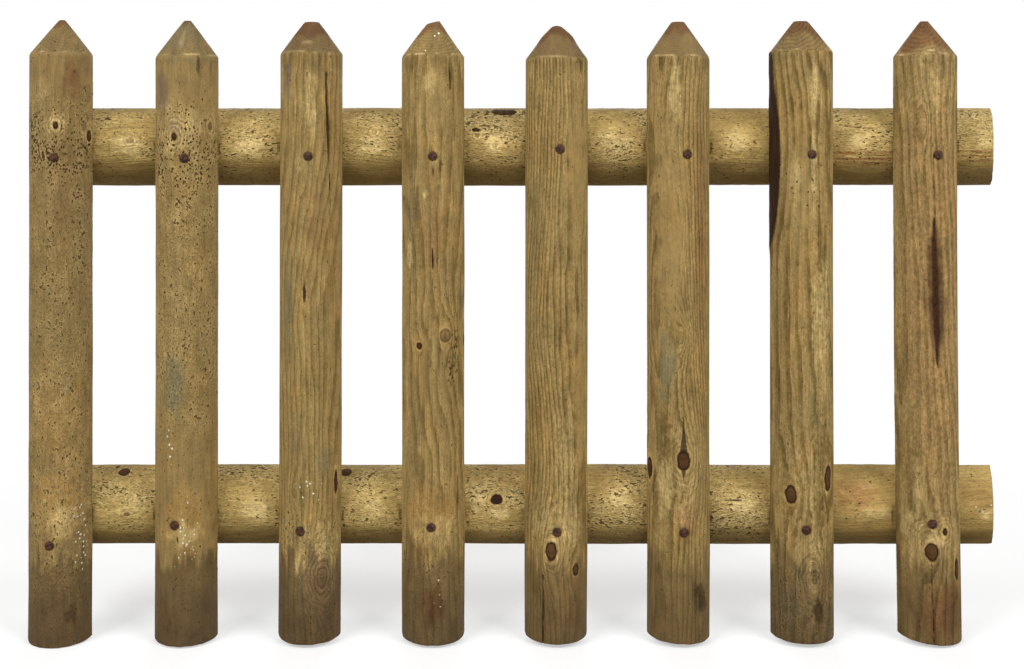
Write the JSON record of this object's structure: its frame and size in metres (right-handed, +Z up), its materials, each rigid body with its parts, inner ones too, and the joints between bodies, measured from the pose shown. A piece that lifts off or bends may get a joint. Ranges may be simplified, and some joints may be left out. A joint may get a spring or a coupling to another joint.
{
  "type": "wooden fence",
  "caption": "Half-round palisade fence panel: pointed upright pales nailed to two horizontal half-round rails, flat backs for fixing to posts.",
  "frame": {"origin": "on the lower rail's flat back, on the rail's centre line and midway between the first and the last pale", "axes": "+X along the rails towards the end where they stick out, +Z up, +Y the way the flat backs face, so the rounded fronts face -Y"},
  "size_m": [1.5328, 0.1054, 0.9668],
  "materials": {
    "pale_wood": "weathered pressure-treated softwood",
    "rail_wood": "peeled pressure-treated softwood",
    "nail_steel": "rusted"
  },
  "bodies": {
    "root": {"rail_upper": "rail_wood", "rail_lower": "rail_wood", "pale_1": "pale_wood", "pale_2": "pale_wood", "pale_3": "pale_wood", "pale_4": "pale_wood", "pale_5": "pale_wood", "pale_6": "pale_wood", "pale_7": "pale_wood", "pale_8": "pale_wood", "nail_upper_1": "nail_steel", "nail_upper_2": "nail_steel", "nail_upper_3": "nail_steel", "nail_upper_4": "nail_steel", "nail_upper_5": "nail_steel", "nail_upper_6": "nail_steel", "nail_upper_7": "nail_steel", "nail_upper_8": "nail_steel", "nail_lower_1": "nail_steel", "nail_lower_2": "nail_steel", "nail_lower_3": "nail_steel", "nail_lower_4": "nail_steel", "nail_lower_5": "nail_steel", "nail_lower_6": "nail_steel", "nail_lower_7": "nail_steel", "nail_lower_8": "nail_steel"}
  },
  "joints": []
}
